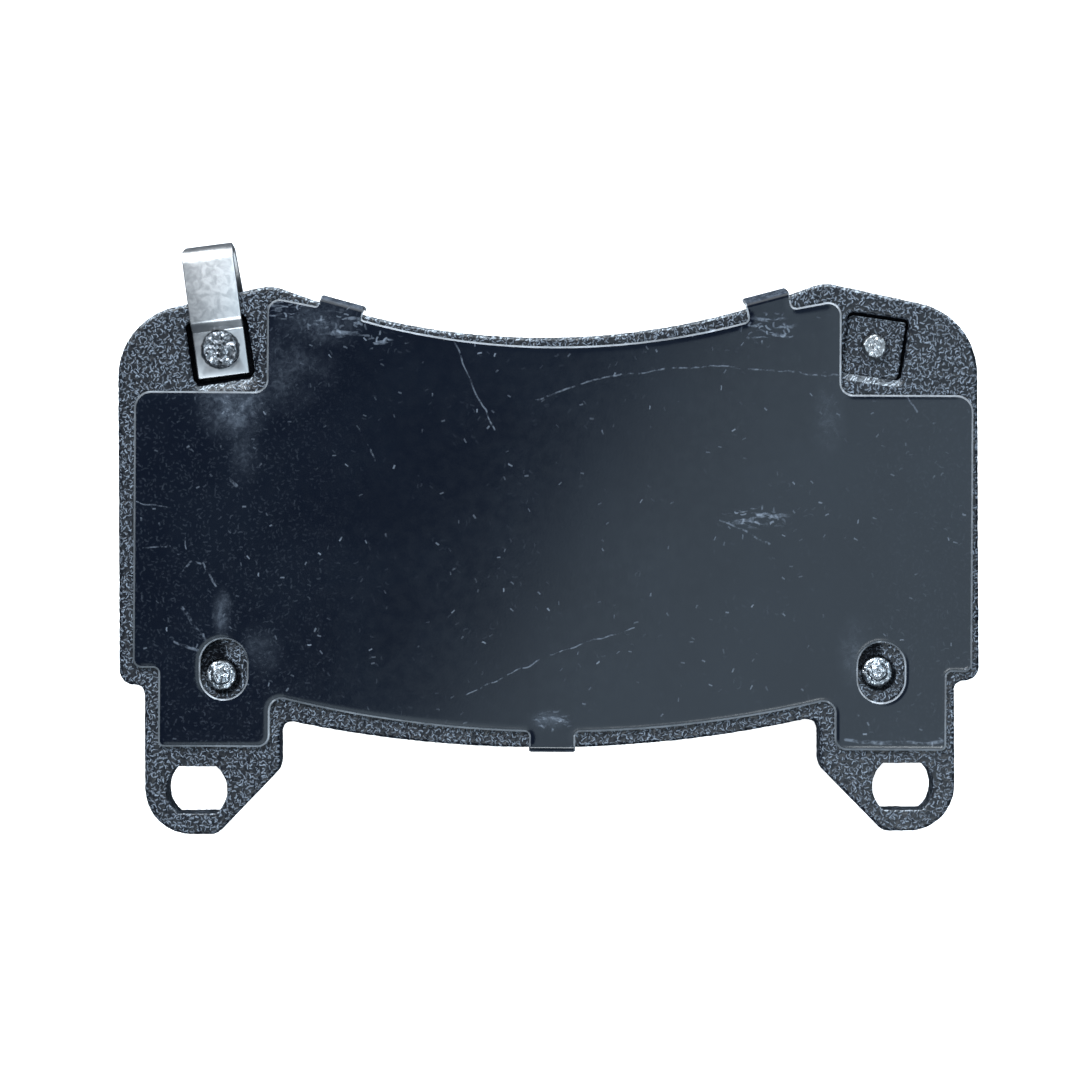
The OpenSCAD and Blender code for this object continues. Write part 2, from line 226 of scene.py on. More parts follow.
def fill(bm, rings, points, z, clear=None):
    """Joins closed rings with triangles through more points. The first ring is the outer one, and the others
    are holes. Points nearer than clear to a ring are left out."""
    rim = [v for ring in rings for v in ring]
    ring_of = {v: k for k, ring in enumerate(rings) for v in ring}
    tree = tree_of([(v.co.x, v.co.y, 0) for v in rim])
    if clear is None:
        clear = 0.7 * float(np.median([(v.co - u.co).length for v, u in zip(rim, rim[1:])]))
    points = points[inside(points, [np.array([v.co.xy for v in ring]) for ring in rings])]
    points = [p for p in points if tree.find((p[0], p[1], 0))[2] > clear]
    places = [v.co.xy / MM for v in rim] + [Vector(p) / MM for p in points]
    edges, first = [], 0
    for ring in rings:
        edges += [(first + i, first + (i + 1) % len(ring)) for i in range(len(ring))]
        first += len(ring)
    found, _, faces, sources, _, _ = geometry.delaunay_2d_cdt(places, edges, [], 1, 1e-5)
    verts = []
    for place, source in zip(found, sources):
        known = [i for i in source if i < len(rim)]
        verts.append(rim[known[0]] if known else bm.verts.new((place.x * MM, place.y * MM, z)))
    for face in faces:
        corners = [verts[i] for i in face]
        holes = {ring_of.get(v, 0) for v in corners}
        if len(holes) > 1 or 0 in holes:
            bm.faces.new(corners)


def lip(radius, z, steps):
    """Rows that round the edge between a flat face at z and a wall."""
    turns = [math.pi / 2 * k / steps for k in range(steps + 1)]
    return [(radius * (1 - math.sin(a)), z - radius * (1 - math.cos(a))) for a in turns]


def depths(top, bottom, step):
    """Heights from top down to bottom, a steady step apart."""
    return np.linspace(top, bottom, max(2, round((top - bottom) / step) + 1))


def finish_mesh(name, bm, smooth=True, crease=180):
    """A mesh from bm, shaded smooth but for the edges that turn by more than crease degrees."""
    bmesh.ops.recalc_face_normals(bm, faces=bm.faces)
    if crease < 180:
        for edge in bm.edges:
            edge.smooth = edge.calc_face_angle(0) < math.radians(crease)
    mesh = bpy.data.meshes.new(name)
    bm.to_mesh(mesh)
    bm.free()
    mesh.polygons.foreach_set("use_smooth", [smooth] * len(mesh.polygons))
    return mesh


def relief(mesh, height):
    """Moves each vertex along its normal by height(place), in metres."""
    count = len(mesh.vertices)
    co, no = np.empty(count * 3), np.empty(count * 3)
    mesh.vertices.foreach_get("co", co)
    mesh.vertices.foreach_get("normal", no)
    co, no = co.reshape(-1, 3), no.reshape(-1, 3)
    rise = np.array([height(Vector(p)) for p in co])
    mesh.vertices.foreach_set("co", (co + no * rise[:, None]).ravel())
    mesh.update()


def place_piece(name, mesh, node, look):
    piece = add(name, mesh)
    mesh.materials.clear()
    mesh.materials.append(look)
    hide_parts(node)
    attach(piece, "root")
    return piece


def middle(node):
    low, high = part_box(node)
    return (low + high) / 2


def reach_at(node, z):
    """The radius of a round node at and above height z."""
    centre = middle(node).xy
    return max((v.co.xy - centre).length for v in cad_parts[node].data.vertices if v.co.z >= z - 1e-6)


# ---- materials ----

class Look:
    """A material with a Principled shader, and short calls for the nodes that the looks share."""

    def __init__(self, name, base, **values):
        self.material = bpy.data.materials.new(name)
        self.material.use_nodes = True
        self.tree = self.material.node_tree
        self.shader = self.tree.nodes["Principled BSDF"]
        self.shader.inputs["Base Color"].default_value = (*base, 1)
        for socket, value in values.items():
            self.shader.inputs[socket.replace("_", " ")].default_value = value
        place = self.tree.nodes.new("ShaderNodeTexCoord").outputs["Object"]
        self.mm = self.vector("SCALE", place, Scale=1 / MM)      # places on the piece, in millimetres

    def feed(self, socket, value):
        if isinstance(value, bpy.types.NodeSocket):
            self.tree.links.new(value, socket)
        else:
            socket.default_value = value

    def node(self, kind, settings=(), **inputs):
        made = self.tree.nodes.new("ShaderNode" + kind)
        for key, value in dict(settings).items():
            setattr(made, key, value)
        for key, value in inputs.items():
            self.feed(made.inputs[key.replace("_", " ")], value)
        return made

    def math(self, operation, a, b=0.0, clamp=False):
        made = self.tree.nodes.new("ShaderNodeMath")
        made.operation, made.use_clamp = operation, clamp
        self.feed(made.inputs[0], a)
        self.feed(made.inputs[1], b)
        return made.outputs[0]

    def vector(self, operation, a, b=None, **inputs):
        made = self.tree.nodes.new("ShaderNodeVectorMath")
        made.operation = operation
        self.feed(made.inputs[0], a)
        if b is not None:
            self.feed(made.inputs[1], b)
        for key, value in inputs.items():
            self.feed(made.inputs[key], value)
        return made.outputs["Value" if operation in ("LENGTH", "DOT_PRODUCT", "DISTANCE") else "Vector"]

    def noise(self, per_mm, detail=2.0, rough=0.5, warp=0.0, at=None):
        made = self.node("TexNoise", Vector=at or self.mm, Scale=per_mm, Detail=detail, Roughness=rough,
                         Distortion=warp)
        return made.outputs["Fac"]

    def swirls(self, per_mm, detail):
        """Noise with three parts, to bend other patterns with."""
        return self.node("TexNoise", Vector=self.mm, Scale=per_mm, Detail=detail).outputs["Color"]

    def coordinate(self, axis):
        """The place along X, Y or Z, in millimetres."""
        return self.node("SeparateXYZ", Vector=self.mm).outputs[axis]

    def ramp(self, value, low, high, to_low=0.0, to_high=1.0):
        """value from low..high to to_low..to_high, smooth at both ends and held outside them."""
        made = self.node("MapRange", {"interpolation_type": "SMOOTHSTEP"}, Value=value)
        for key, number in (("From Min", low), ("From Max", high), ("To Min", to_low), ("To Max", to_high)):
            self.feed(made.inputs[key], number)
        return made.outputs["Result"]

    def blend(self, share, a, b):
        """Colour a where share is 0, and colour b where it is 1."""
        made = self.node("Mix", {"data_type": "RGBA"})
        self.feed(made.inputs["Factor"], share)
        self.feed(made.inputs[6], a if isinstance(a, bpy.types.NodeSocket) else (*a, 1))
        self.feed(made.inputs[7], b if isinstance(b, bpy.types.NodeSocket) else (*b, 1))
        return made.outputs[2]

    def add_up(self, *values):
        total = values[0]
        for value in values[1:]:
            total = self.math("ADD", total, value)
        return total

    def times(self, a, b):
        return self.math("MULTIPLY", a, b)

    def set(self, **links):
        for socket, value in links.items():
            self.feed(self.shader.inputs[socket.replace("_", " ")], value)

    def bump(self, height, depth_mm):
        made = self.node("Bump", Height=height, Distance=depth_mm * MM, Strength=1.0)
        self.feed(self.shader.inputs["Normal"], made.outputs["Normal"])

    def strokes(self, at, per_mm, half_long, half_wide, share=1.0):
        """Short bent strokes, at most one to a cell, each with its own direction, bend and strength. Their
        sizes are in cells, and share is the part of the cells that has one."""
        at = self.vector("MULTIPLY", at, (1, 1, 0))
        cell = self.node("TexVoronoi", {"feature": "F1", "voronoi_dimensions": "2D"}, Vector=at, Scale=per_mm,
                         Randomness=0.95)
        own = self.node("SeparateColor", Color=cell.outputs["Color"])
        off = self.vector("SCALE", self.vector("SUBTRACT", at, cell.outputs["Position"]), Scale=per_mm)
        spun = self.node("VectorRotate", {"rotation_type": "Z_AXIS"}, Vector=off,
                         Angle=self.times(own.outputs["Red"], 2 * math.pi))
        along = self.node("SeparateXYZ", Vector=spun.outputs[0])
        run, aside = along.outputs["X"], along.outputs["Y"]
        bend = self.times(self.math("SUBTRACT", own.outputs["Green"], 0.5), 2.6)
        aside = self.math("ABSOLUTE", self.math("ADD", aside, self.times(bend, self.times(run, run))))
        line = self.times(self.ramp(aside, 0.4 * half_wide, half_wide, 1.0, 0.0),
                          self.ramp(self.math("ABSOLUTE", run), 0.6 * half_long, half_long, 1.0, 0.0))
        there = self.math("LESS_THAN", own.outputs["Blue"], share)
        return self.times(self.times(line, there), self.ramp(own.outputs["Green"], 0.0, 1.0, 0.35, 1.0))

    def draped(self):
        """Places for a flat pattern, which also runs down the walls without smearing on them."""
        x, y, z = self.node("SeparateXYZ", Vector=self.mm).outputs
        return self.node("CombineXYZ", X=self.math("ADD", x, self.times(z, 0.9)),
                         Y=self.math("ADD", y, self.times(z, 0.43))).outputs[0]

    def near(self, x, y, rx, ry=None):
        """1 at a place on the face and falling softly to 0 at the rim of an ellipse round it."""
        off = self.vector("SUBTRACT", self.mm, (x, y, 0))
        off = self.vector("MULTIPLY", off, (1 / rx, 1 / (ry or rx), 0))
        return self.ramp(self.vector("LENGTH", off), 0.0, 1.0, 1.0, 0.0)

    def scratch(self, at, a, b, width):
        """1 along the line from a to b, and 0 off it."""
        along = Vector((b[0] - a[0], b[1] - a[1], 0))
        flat = self.vector("MULTIPLY", at, (1, 1, 0))
        off = self.vector("SUBTRACT", flat, (a[0], a[1], 0))
        share = self.math("DIVIDE", self.vector("DOT_PRODUCT", off, tuple(along)), along.length_squared,
                          clamp=True)
        foot = self.vector("SCALE", tuple(along), Scale=share)
        return self.ramp(self.vector("DISTANCE", off, foot), width * 0.3, width, 1.0, 0.0)


def powder_coat():
    """Wrinkled black powder coat: short worm-like ridges, satin, with a painted sheen on their tops and
    painted shade between them.
    """
    look = Look("powder_coat", (0.02, 0.025, 0.036))
    lying = look.draped()
    bent = look.vector("ADD", lying, look.vector("SCALE", look.swirls(1.3, 1.0), Scale=0.55))
    coarse = look.strokes(bent, 1.2, 0.52, 0.18)
    fine = look.strokes(look.vector("ADD", bent, (7.3, 3.1, 0)), 1.6, 0.5, 0.19, 0.75)
    on_top = look.math("MAXIMUM", coarse, look.times(fine, 0.8))
    on_walls = look.math("ABSOLUTE", look.math("SUBTRACT", look.noise(1.2, 1.0, 0.5, 0.5), 0.5))
    on_walls = look.times(look.ramp(on_walls, 0.01, 0.06, 1.0, 0.0), look.ramp(look.noise(1.0), 0.46, 0.56))
    _, to_hub, up = look.node("SeparateXYZ", Vector=look.node("NewGeometry").outputs["Normal"]).outputs
    level = look.ramp(look.math("ABSOLUTE", up), 0.35, 0.6)
    steep = look.math("SUBTRACT", 1.0, level)
    ridges = look.math("ADD", look.times(on_top, level), look.times(on_walls, steep))
    pebbles = look.noise(1.3, 1.0, 0.5, 0.5)
    grain = look.noise(3.4, 2.0, 0.6, 0.4)
    look.bump(look.add_up(look.times(ridges, 0.75), look.times(pebbles, 0.6), look.times(grain, 0.1)), 0.26)
    dust = look.times(look.ramp(look.noise(0.12, 3.0, 0.6), 0.4, 0.7), look.ramp(grain, 0.5, 0.7))
    # painted sheen and shade: the wrinkles are real relief in the bump, but their tops are painted light for
    # the glints they catch and the hollows between them near black for the shade in them; the dust is real
    coat = look.blend(look.add_up(look.times(ridges, 0.95), look.times(dust, 0.08)),
                      (0.002, 0.003, 0.006), (0.215, 0.25, 0.305))
    # painted highlight: rolled edges and recess slopes that face the hub, where the hub-side lamps fall on
    # them, are painted bright, in broken patches on the raised grain
    hub_edge_highlight = look.times(look.ramp(to_hub, 0.2, 0.5), look.ramp(up, 0.12, 0.3))
    hub_edge_highlight = look.times(hub_edge_highlight, look.ramp(look.noise(1.5, 3.0, 0.6, 0.8), 0.42, 0.56, 0.15, 1.0))
    raised = look.math("ADD", ridges, look.times(pebbles, 0.4))
    hub_edge_highlight = look.times(hub_edge_highlight, look.ramp(raised, 0.15, 0.7, 0.2, 1.0))
    # black where light hardly reaches: low in the recesses, and beside the pins in the oval holes
    height = look.coordinate("Z")
    floor_at = RECESS_FLOOR / MM
    near_floor = look.ramp(height, floor_at - 1, floor_at - 0.9)
    gloom = 0.0
    for head, depth in (("wear_indicator_rivet", 0.6), ("spare_stud", -0.12)):
        at = middle(head) / MM
        pocket = look.times(look.ramp(look.near(at.x, at.y, 9.5), 0.02, 0.08),
                            look.ramp(height, floor_at + depth - 0.12, floor_at + depth, 1.0, 0.0))
        gloom = look.math("MAXIMUM", gloom, look.times(pocket, near_floor))
    for pin in ("locating_pin_left", "locating_pin_right"):
        at = middle(pin) / MM
        shade = look.math("MAXIMUM", look.ramp(look.near(at.x - 2.4, at.y + 3.4, 4.6), 0.0, 0.35),
                          look.ramp(look.near(at.x + 0.3, at.y - 0.3, 3.5), 0.0, 0.12))
        gloom = look.math("MAXIMUM", gloom, look.times(shade, 0.85))
    # paints the highlight on the hub-facing edges over the coat
    coat = look.blend(hub_edge_highlight, coat, (0.55, 0.6, 0.66))
    look.set(Base_Color=look.blend(gloom, coat, (0.001, 0.0012, 0.002)),
             Specular_IOR_Level=look.ramp(gloom, 0.0, 1.0, 0.35, 0.02),
             Roughness=look.ramp(pebbles, 0.3, 0.7, 0.32, 0.46))
    return look.material


# Marks of handling on the shim's rubber face, in millimetres from the pad's middle, and one painted highlight
# along the bottom edge of the right lower lobe, listed as a scratch. A scratch is (width, points), a patch of
# haze is (x, y, radius along x, radius along y, strength), and a smear is the same without the strength.
SCRATCHES_AND_EDGE_HIGHLIGHT = (
    (0.18, (-15.5, 32.2), (-8.9, 17.7)),
    (0.19, (-1.9, 22.9), (8.0, 26.1), (25.3, 28.4), (48.6, 26.6)),
    (0.17, (-31.7, 18.6), (-28.7, 12.2)),
    (0.16, (-13.9, -26.1), (2.0, -18.9), (14.5, -15.1)),
    (0.22, (28.6, 2.7), (37.0, -1.4)),
    (0.22, (59.5, 23.6), (61.4, 20.6)),
    # painted highlight, not a scratch: a light line painted along the bottom edge of the right lower lobe
    (0.37, (49.5, -34.3), (65.3, -34.6)),
    (0.15, (-68.5, 6.0), (-63.5, 5.2)),
    (0.17, (-67.4, -1.5), (-62.8, -1.2), (-61.6, -2.7)),
    (0.15, (-60.7, 0.8), (-60.2, -1.7)),
    (0.26, (-61.5, -6.3), (-59.4, -3.8), (-57.9, -4.2)),
    (0.24, (-57.4, -4.1), (-55.2, -8.0)),
    (0.38, (-61.2, -11.6), (-57.2, -17.0)),
    (0.30, (-62.2, -17.1), (-58.4, -18.8)),
    (0.36, (-53.0, 10.0), (-52.2, 8.6)),
)
HAZE = (
    (-52.3, 22.5, 7.5, 8.0, 1.0), (-50.5, 14, 3.5, 7, 0.3), (-54.4, -12.4, 2.0, 5.2, 0.75),
    (-38, 35.5, 9, 5, 0.6), (0, -30.5, 4, 2.2, 0.6), (-48, -19, 4.5, 6, 0.28), (46.5, 19, 4, 8, 0.2),
    (51, -19.5, 4, 8, 0.3), (-45, 28, 12, 9, 0.35),
)
SMEARS = (
    (-35, 35.6, 7, 3.4), (-29, 33, 4, 2), (-44, 38, 5, 2.2), (0.5, -30.6, 4.5, 2.2), (35, 3, 7, 2.5),
    (37, 34.5, 6, 3.2),
)


def rubber():
    """Smooth black rubber skin of the shim, with the dust and fine scratches of handling, and a painted
    reflection on its bent legs.
    """
    look = Look("shim_rubber", (0.006, 0.0085, 0.017), Specular_IOR_Level=0.5)
    drift = look.vector("SUBTRACT", look.swirls(0.22, 2.0), (0.5, 0.5, 0.5))
    drift = look.vector("SCALE", drift, Scale=1.6)
    bent = look.vector("ADD", look.mm, drift)
    lines = 0.0
    # the scratches, with the painted highlight listed among them
    for width, *points in SCRATCHES_AND_EDGE_HIGHLIGHT:
        for a, b in zip(points, points[1:]):
            lines = look.math("MAXIMUM", lines, look.scratch(bent, a, b, width))
    lines = look.times(lines, look.ramp(look.noise(0.8, 2.0, 0.7), 0.38, 0.66))
    haze = 0.0
    for x, y, rx, ry, much in HAZE:
        haze = look.math("MAXIMUM", haze, look.times(look.near(x, y, rx, ry), much))
    mottle = look.ramp(look.noise(0.55, 4.0, 0.62, 1.2), 0.42, 0.68)
    swirl = look.ramp(look.math("ABSOLUTE", look.math("SUBTRACT", look.noise(0.62, 2.0, 0.6, 1.6), 0.5)),
                      0.0, 0.05, 1.0, 0.0)
    patchy = look.ramp(look.noise(0.2, 4.0, 0.7, 0.6), 0.34, 0.62, 0.35, 1.0)
    film = look.add_up(0.16, look.times(mottle, 0.26), look.times(swirl, 0.14))
    haze = look.times(look.times(haze, patchy), film)
    smears = 0.0
    for x, y, rx, ry in SMEARS:
        smears = look.math("MAXIMUM", smears, look.near(x, y, rx, ry))
    streaky = look.noise(0.55, 3.0, 0.6, at=look.vector("MULTIPLY", bent, (0.5, 1.9, 1.0)))
    chips = look.times(look.ramp(smears, 0.0, 0.3), look.strokes(bent, 0.75, 0.4, 0.16, 0.5))
    smears = look.times(look.ramp(smears, 0.05, 0.5), look.ramp(streaky, 0.52, 0.6))
    smears = look.times(smears, look.ramp(look.noise(1.5, 3.0, 0.65), 0.38, 0.62, 0.35, 1.0))
    right = look.coordinate("X")
    dusty = look.math("ADD", look.ramp(right, -52, -24, 1.0, 0.0), look.ramp(right, 36, 66, 0.0, 0.45))
    clumps = look.ramp(look.noise(0.11, 3.0, 0.65), 0.45, 0.62)
    much = look.math("ADD", look.times(dusty, 0.75), look.times(clumps, 0.55), clamp=True)
    small = look.times(look.strokes(bent, 0.8, 0.36, 0.13, 0.3), look.times(much, 0.1))
    tiny = look.times(look.strokes(look.vector("ADD", bent, (3.7, 9.1, 0)), 1.5, 0.45, 0.24, 0.6),
                      look.times(dusty, 0.055))
    bright = look.strokes(look.vector("ADD", bent, (1.9, 5.3, 0)), 0.33, 0.13, 0.055, 0.45)
    bright = look.times(bright, look.times(clumps, 0.6))
    specks = look.math("MAXIMUM", look.math("MAXIMUM", small, tiny), bright)
    # handling marks, with the painted edge highlight among the lines
    wear_and_sheen = look.math("MAXIMUM", look.times(lines, 0.42), look.math("MAXIMUM", haze, look.times(smears, 0.45)))
    wear_and_sheen = look.math("ADD", wear_and_sheen, look.math("MAXIMUM", specks, look.times(chips, 0.5)), clamp=True)
    # painted reflection: the rubber on the bent legs, below the flat face, is painted lighter in patches for
    # the bright surround it mirrors there
    painted_leg_reflection = look.ramp(look.coordinate("Z"), COAT_TOP / MM - 0.5, COAT_TOP / MM - 0.08, 1.0, 0.0)
    leg_reflection_patches = look.ramp(look.noise(0.8, 3.0, 0.6), 0.35, 0.65, 0.2, 0.5)
    wear_and_sheen = look.math("MAXIMUM", wear_and_sheen, look.times(painted_leg_reflection, leg_reflection_patches))
    cloudy = look.times(look.ramp(look.noise(0.05, 3.0, 0.6), 0.35, 0.7), 0.35)
    look.set(Base_Color=look.blend(wear_and_sheen, look.blend(cloudy, (0.0018, 0.0032, 0.0075), (0.006, 0.009, 0.015)),
                                   (0.17, 0.20, 0.25)),
             Roughness=look.math("ADD", look.ramp(look.noise(0.5, 3.0, 0.6), 0.3, 0.7, 0.13, 0.17),
                                 look.times(wear_and_sheen, 0.35)))
    look.bump(look.add_up(wear_and_sheen, look.times(look.noise(2.2, 2.0, 0.5), 0.1)), 0.02)
    return look.material


def bare_steel(name, base, roughness, grain_mm, depth_mm):
    """Uncoated, slightly oxidised steel with a fine grain, clouds of tone and small stains."""
    look = Look(name, base, Metallic=0.45)
    grain = look.noise(1 / grain_mm, 3.0, 0.6)
    tone = look.noise(0.45, 3.0, 0.6, 0.8)
    stain = look.ramp(look.noise(0.9, 3.0, 0.65), 0.56, 0.72)
    look.bump(look.add_up(grain, look.times(tone, 0.8)), depth_mm)
    look.set(Roughness=look.ramp(look.add_up(look.times(grain, 0.6), look.times(tone, 0.4)), 0.3, 0.7,
                                 roughness - 0.06, roughness + 0.06),
             Base_Color=look.blend(look.times(stain, 0.5), look.blend(
                 look.ramp(tone, 0.35, 0.65), tuple(c * 0.78 for c in base), base),
                 tuple(c * 0.45 for c in base)))
    return look.material


def strip_steel():
    """Rolled spring steel of the wear indicator: satin and smeared, with a grimy ring round the rivet, and
    painted shade that darkens it towards its seat."""
    look = Look("spring_steel", (0.7, 0.73, 0.77), Metallic=1.0)
    centre = middle("wear_indicator_rivet") / MM
    off = look.vector("MULTIPLY", look.vector("SUBTRACT", look.mm, (centre.x, centre.y, 0)), (1, 1, 0))
    uneven = look.math("SUBTRACT", look.noise(0.9, 3.0, 0.6), 0.5)
    away = look.math("ADD", look.vector("LENGTH", off), look.times(uneven, 0.7))
    grime = look.times(look.ramp(away, 2.9, 3.05), look.ramp(away, 3.1, 3.35, 1.0, 0.0))
    to_hub = look.coordinate("Y")
    # painted shade and reflection: the strip is painted darker at its seat and joggle and lighter up the arm
    # towards the hub, for how light falls and reflects on it
    painted_arm_light = look.times(look.ramp(to_hub, 36.4, 44.0, 0.5, 1.0), look.ramp(to_hub, 35.2, 35.8, 0.45, 1.0))
    smears = look.noise(0.75, 3.0, 0.6, 1.1)
    fine = look.noise(4.0, 2.0, 0.5)
    look.bump(look.add_up(smears, look.times(fine, 0.4)), 0.006)
    tone = look.blend(look.ramp(smears, 0.35, 0.65), (0.84, 0.82, 0.81), (0.95, 0.92, 0.905))
    # the painted shade darkens the tone towards the seat
    tone = look.blend(painted_arm_light, (0.34, 0.345, 0.36), tone)
    look.set(Base_Color=look.blend(grime, tone, (0.03, 0.035, 0.045)),
             Roughness=look.ramp(smears, 0.3, 0.7, 0.33, 0.39))
    return look.material


def pressed_steel(name, base, rough, depth_mm, dark):
    """Battered steel of a pin or rivet end: bright bent ridges between dull, dark hollows."""
    look = Look(name, base, Metallic=1.0)
    bent = look.vector("ADD", look.mm, look.vector("SCALE", look.swirls(1.0, 2.0), Scale=1.2))
    folds = look.strokes(bent, 0.8, 0.6, 0.24)
    grain = look.noise(0.95, 2.0, 0.55, 1.4)
    look.bump(look.add_up(look.times(folds, 0.6), grain), depth_mm)
    dull = look.ramp(look.math("SUBTRACT", grain, look.times(folds, 0.35)), 0.3, 0.6)
    look.set(Base_Color=look.blend(dull, base, tuple(c * dark for c in base)),
             Roughness=look.ramp(grain, 0.35, 0.65, rough - 0.08, rough + 0.1))
    return look.material


def friction_stuff():
    """Ground friction composite: dark binder with metal, brass and graphite flecks, pits and fine fibres."""
    look = Look("friction", (0.075, 0.07, 0.066))
    bits = look.node("TexVoronoi", {"feature": "F1"}, Vector=look.mm, Scale=0.95, Randomness=1.0)
    kind = look.node("SeparateColor", Color=bits.outputs["Color"])
    core = look.ramp(bits.outputs["Distance"], 0.2, 0.34, 1.0, 0.0)
    metal = look.times(core, look.ramp(kind.outputs["Red"], 0.80, 0.84))
    brass = look.times(core, look.ramp(kind.outputs["Green"], 0.86, 0.9))
    coke = look.times(core, look.ramp(kind.outputs["Blue"], 0.66, 0.7))
    along = look.node("VectorRotate", {"rotation_type": "Z_AXIS"}, Vector=look.mm, Angle=0.35)
    fibres = look.noise(0.9, 2.0, 0.6, at=look.vector("MULTIPLY", along.outputs[0], (0.5, 4.0, 4.0)))
    fibres = look.ramp(fibres, 0.64, 0.7)
    ground = look.noise(0.5, 3.0, 0.6, at=look.vector("MULTIPLY", look.mm, (0.12, 6.0, 1.0)))
    pits = look.ramp(look.noise(0.7, 3.0, 0.6), 0.33, 0.42)
    clouds = look.ramp(look.noise(0.2, 4.0, 0.65), 0.35, 0.65)
    base = look.blend(clouds, (0.05, 0.047, 0.045), (0.1, 0.092, 0.085))
    base = look.blend(look.times(fibres, 0.6), base, (0.2, 0.17, 0.12))
    base = look.blend(coke, base, (0.016, 0.016, 0.018))
    base = look.blend(metal, base, (0.52, 0.5, 0.48))
    base = look.blend(brass, base, (0.55, 0.34, 0.14))
    look.set(Base_Color=look.blend(look.math("SUBTRACT", 1.0, pits), base, (0.022, 0.02, 0.02)),
             Metallic=look.math("MAXIMUM", metal, brass),
             Roughness=look.ramp(look.add_up(look.times(coke, 0.5), look.times(metal, 0.6)),
                                 0.0, 0.6, 0.88, 0.4))
    look.bump(look.add_up(look.times(pits, 0.9), look.times(ground, 0.5), look.times(core, 0.25)), 0.22)
    return look.material


def moulded_fibre():
    """Moulded insulating layer: tan-brown binder full of short fibres."""
    look = Look("underlayer", (0.16, 0.12, 0.09))
    fibres = 0.0
    for angle in (0.3, 1.4, 2.5):
        along = look.node("VectorRotate", {"rotation_type": "Z_AXIS"}, Vector=look.mm, Angle=angle)
        strands = look.noise(0.8, 2.0, 0.6, at=look.vector("MULTIPLY", along.outputs[0], (0.45, 3.6, 3.6)))
        fibres = look.math("MAXIMUM", fibres, look.ramp(strands, 0.6, 0.68))
    clouds = look.ramp(look.noise(0.25, 4.0, 0.65), 0.35, 0.65)
    look.set(Base_Color=look.blend(look.times(fibres, 0.7), look.blend(
        clouds, (0.1, 0.075, 0.055), (0.19, 0.145, 0.105)), (0.34, 0.28, 0.2)),
             Roughness=look.ramp(fibres, 0.0, 1.0, 0.86, 0.7))
    look.bump(look.add_up(fibres, look.noise(1.6, 3.0, 0.6)), 0.12)
    return look.material


def adhesive():
    """The thin rubber and glue skin under the shim, squeezed out a little at its edge."""
    look = Look("shim_adhesive", (0.02, 0.02, 0.024))
    blobs = look.noise(0.9, 3.0, 0.6, 0.5)
    look.set(Base_Color=look.blend(look.ramp(blobs, 0.35, 0.7), (0.012, 0.013, 0.017), (0.034, 0.036, 0.042)),
             Roughness=look.ramp(blobs, 0.3, 0.7, 0.38, 0.6))
    look.bump(blobs, 0.08)
    return look.material


# ---- pieces ----

FINE = 0.38 * MM               # step of the grids where the plate's coat shows
COARSE = 3 * MM                # and where another piece covers it
ROLL_OVER = 0.75 * MM          # radius of the plate's stamped upper edge
RIM = 0.22 * MM                # bare steel between the shim's cut edge and its rubber
SINK = 0.08 * MM               # how far the rubber is pressed down at a cut edge
CORNER = 0.8 * MM              # length of the cut corners of the wear indicator's fold
TAB_GAP = 0.8 * MM             # the flat rubber's outline stops short of a tab's bend by less than this
LEG_REACH = 3 * MM             # a tab's bend lies within this distance of its leg's middle
LEGS_APART = 10 * MM           # and two legs are farther apart than this
COVERED = 0.9 * MM             # the coarse grid starts this far inside the piece that covers the plate
GROOVE = 0.5 * MM              # depth and width of the groove along a recess's walls
PIN_HOLES = 6 * MM             # the holes for the rivet, stud and pins are narrower than this


def coat_relief(place):
    """Depth of the coat's coarser waves at a place."""
    p = place / MM
    worm = abs(noise.noise(p / 0.95 + 1.3 * noise.noise_vector(p / 1.7)))
    return (-0.075 * min(1.0, worm * 3.2) - 0.02 * (noise.noise(p / 5) + 1)) * MM


